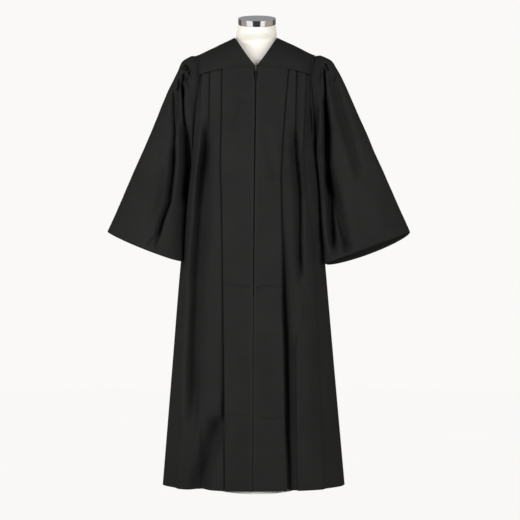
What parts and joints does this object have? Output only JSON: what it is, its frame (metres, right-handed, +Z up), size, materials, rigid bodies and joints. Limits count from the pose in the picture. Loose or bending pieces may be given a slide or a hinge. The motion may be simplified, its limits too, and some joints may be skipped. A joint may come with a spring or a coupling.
{
  "type": "choir robe on a dress form",
  "caption": "Full-length black choir robe with a plain yoke, pressed pleats, wide bell sleeves and a front zip, worn by a limbless dress form on a pole stand.",
  "frame": {"origin": "centre of the stand base's underside, on the floor", "axes": "+Z up, +X to the viewer's right as seen from the front, -Y towards the front with the zip"},
  "size_m": [0.8891, 0.2932, 1.3896],
  "materials": {
    "gown_cloth": "matt black polyester gown cloth, fine plain weave, pressed pleats",
    "zip_tape": "black woven zip tape with a nylon coil",
    "zip_metal": "dull grey cast slider and pull tab",
    "linen": "off-white linen stretched over the form",
    "polished_metal": "polished chrome with a radial sheen",
    "stand_paint": "off-white powder coat on steel"
  },
  "bodies": {
    "robe_on_form": {"back": "gown_cloth", "front_left": "gown_cloth", "front_right": "gown_cloth", "yoke_back": "gown_cloth", "yoke_front_left": "gown_cloth", "yoke_front_right": "gown_cloth", "sleeve_left": "gown_cloth", "sleeve_right": "gown_cloth", "zip_tape_left": "zip_tape", "zip_tape_right": "zip_tape", "zip_coil": "zip_tape", "zip_slider": "zip_metal", "form_torso": "linen", "neck_cap": "polished_metal", "stand_pole": "stand_paint", "stand_base": "stand_paint"},
    "pull_tab": {"zip_pull_tab": "zip_metal"}
  },
  "joints": [
    {"name": "pull_tab_hinge", "type": "hinge", "parent": "robe_on_form", "child": "pull_tab", "pos_m": [-0.00041, -0.10903, 1.2035], "axis": [-1, 0, 0], "range_deg": [0, 165]}
  ]
}
